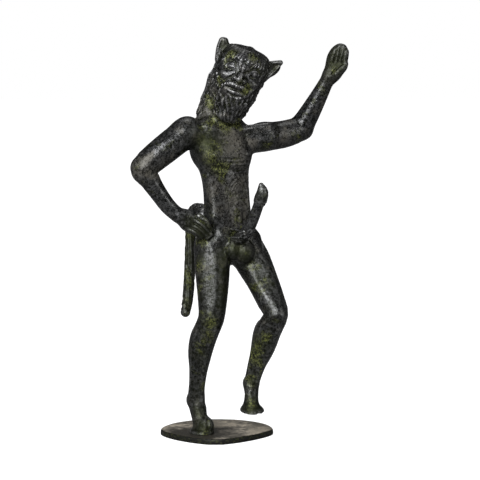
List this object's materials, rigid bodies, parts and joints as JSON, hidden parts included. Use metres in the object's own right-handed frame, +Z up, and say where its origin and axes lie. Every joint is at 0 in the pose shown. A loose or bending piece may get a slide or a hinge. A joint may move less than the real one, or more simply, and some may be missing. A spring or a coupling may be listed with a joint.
{
  "type": "bronze satyr statuette",
  "caption": "Cast bronze statuette of a bearded satyr with pointed ears and a tail, dancing on a hoof on a thin plate, a hand on its hip and the other raised.",
  "frame": {"origin": "centre of the plate's underside", "axes": "+Z up, the picture's camera looks along +Y, +X to its right; the figure's front is turned from -Y towards +X by 38 degrees at the hips, 32 at the chest and 8 at the head"},
  "size_m": [0.1081, 0.0639, 0.2],
  "materials": {
    "figure_bronze": "dark brown-black patina, rubbed to a soft grey sheen on the high parts, olive-green in the hollows",
    "plate_bronze": "dull dark brown patina with a faint green cast, darker on the rim"
  },
  "bodies": {
    "root": {"satyr": "figure_bronze", "base_plate": "plate_bronze"}
  },
  "joints": []
}
